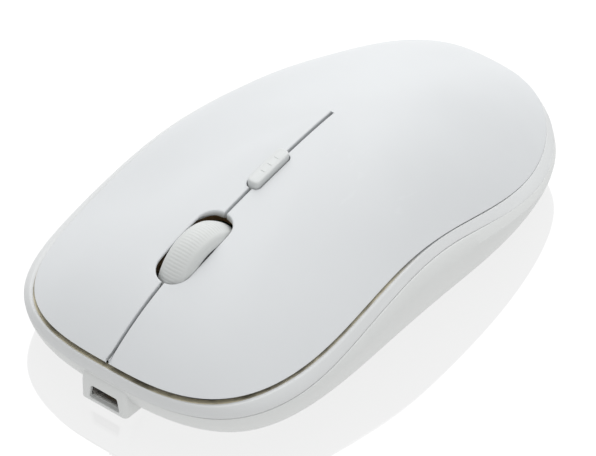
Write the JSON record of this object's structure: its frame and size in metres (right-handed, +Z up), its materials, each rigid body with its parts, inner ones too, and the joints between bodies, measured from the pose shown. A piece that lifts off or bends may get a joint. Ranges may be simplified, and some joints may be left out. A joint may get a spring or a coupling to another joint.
{
  "type": "computer mouse",
  "caption": "Slim wireless mouse: domed cover with two flexing keys, scroll wheel, mid button, slim frame, hull with charging port and stored radio receiver.",
  "frame": {"origin": "on the surface that the mouse stands on, under the middle of its outline", "axes": "-Y points to the front, where the charging port is, +Y to the palm end, +Z up, and +X to the user's left"},
  "size_m": [0.0666, 0.115, 0.0292],
  "materials": {
    "cover_white": "matt, fine grain",
    "frame_white": "matt, fine grain",
    "shell_white": "satin, fine grain",
    "button_white": "satin",
    "wheel_rubber": "soft satin, fine cross ribs",
    "hub_plastic": "satin",
    "grey_plastic": "satin",
    "dark_plastic": "matt",
    "connector_white": "satin",
    "board_green": "lacquered board",
    "steel": "plain plated",
    "cell_foil": "satin foil",
    "foot_plastic": "slick",
    "label_film": "blank satin film",
    "clear_plastic": "clear",
    "red_lead": "satin insulation",
    "black_lead": "satin insulation"
  },
  "bodies": {
    "root": {"palm_cover": "cover_white", "mid_frame": "frame_white", "bottom_shell": "shell_white", "main_board": "board_green", "encoder": "dark_plastic", "middle_switch": "dark_plastic", "left_switch": "dark_plastic", "right_switch": "dark_plastic", "dpi_switch": "dark_plastic", "controller_chip": "dark_plastic", "charge_chip": "dark_plastic", "clock_crystal": "steel", "status_led": "clear_plastic", "optical_sensor": "dark_plastic", "sensor_lens": "clear_plastic", "usb_socket": "steel", "usb_tongue": "dark_plastic", "battery_cell": "cell_foil", "battery_header": "connector_white", "battery_plug": "connector_white", "battery_lead_red": "red_lead", "battery_lead_black": "black_lead", "power_switch": "steel", "front_foot": "foot_plastic", "rear_foot_left": "foot_plastic", "rear_foot_right": "foot_plastic", "base_label": "label_film", "case_screw_1": "steel", "case_screw_2": "steel", "case_screw_3": "steel", "case_screw_4": "steel", "board_screw_1": "steel", "board_screw_2": "steel"},
    "left_key": {"left_key": "cover_white"},
    "right_key": {"right_key": "cover_white"},
    "wheel_carrier": {"axle_cradle": "grey_plastic"},
    "wheel": {"wheel_hub": "hub_plastic", "wheel_tyre": "wheel_rubber", "encoder_rotor": "grey_plastic"},
    "dpi_button": {"dpi_button": "button_white"},
    "left_plunger": {"left_switch_plunger": "connector_white"},
    "right_plunger": {"right_switch_plunger": "connector_white"},
    "middle_plunger": {"middle_switch_plunger": "connector_white"},
    "dpi_plunger": {"dpi_switch_plunger": "connector_white"},
    "power_slider": {"power_slider": "grey_plastic"},
    "receiver": {"receiver_head": "cover_white", "receiver_plug": "steel"}
  },
  "joints": [
    {"name": "left_key_press", "type": "hinge", "parent": "root", "child": "left_key", "pos_m": [0, 0.0088, 0.025], "axis": [1, 0, 0], "range_deg": [0, 0.6], "stiffness_Nm_per_rad": 2.6},
    {"name": "right_key_press", "type": "hinge", "parent": "root", "child": "right_key", "pos_m": [0, 0.0088, 0.025], "axis": [1, 0, 0], "range_deg": [0, 0.6], "stiffness_Nm_per_rad": 2.6},
    {"name": "wheel_rock", "type": "hinge", "parent": "root", "child": "wheel_carrier", "pos_m": [0.0095, -0.0302, 0.0155], "axis": [0, -1, 0], "range_deg": [0, 1.6], "stiffness_Nm_per_rad": 0.3},
    {"name": "wheel_spin", "type": "hinge", "parent": "wheel_carrier", "child": "wheel", "pos_m": [0, -0.0302, 0.0155], "axis": [1, 0, 0], "continuous": true},
    {"name": "dpi_button_press", "type": "slide", "parent": "root", "child": "dpi_button", "axis": [0, 0, -1], "range_m": [0, 0.0005], "stiffness_N_per_m": 2000},
    {"name": "left_plunger_press", "type": "slide", "parent": "root", "child": "left_plunger", "axis": [0, 0, -1], "range_m": [0, 0.0005]},
    {"name": "right_plunger_press", "type": "slide", "parent": "root", "child": "right_plunger", "axis": [0, 0, -1], "range_m": [0, 0.0005]},
    {"name": "middle_plunger_press", "type": "slide", "parent": "root", "child": "middle_plunger", "axis": [0, 0, -1], "range_m": [0, 0.0005]},
    {"name": "dpi_plunger_press", "type": "slide", "parent": "root", "child": "dpi_plunger", "axis": [0, 0, -1], "range_m": [0, 0.0005]},
    {"name": "power_slide", "type": "slide", "parent": "root", "child": "power_slider", "axis": [1, 0, 0], "range_m": [0, 0.002]},
    {"name": "receiver_pull", "type": "slide", "parent": "root", "child": "receiver", "axis": [0, 0, -1], "range_m": [0, 0.012]}
  ],
  "couplings": [
    {"joint": "left_plunger_press", "follows": "left_key_press", "m_per_rad": 0.0468},
    {"joint": "right_plunger_press", "follows": "right_key_press", "m_per_rad": 0.0468},
    {"joint": "middle_plunger_press", "follows": "wheel_rock", "m_per_rad": 0.0172},
    {"joint": "dpi_plunger_press", "follows": "dpi_button_press", "ratio": 1}
  ]
}
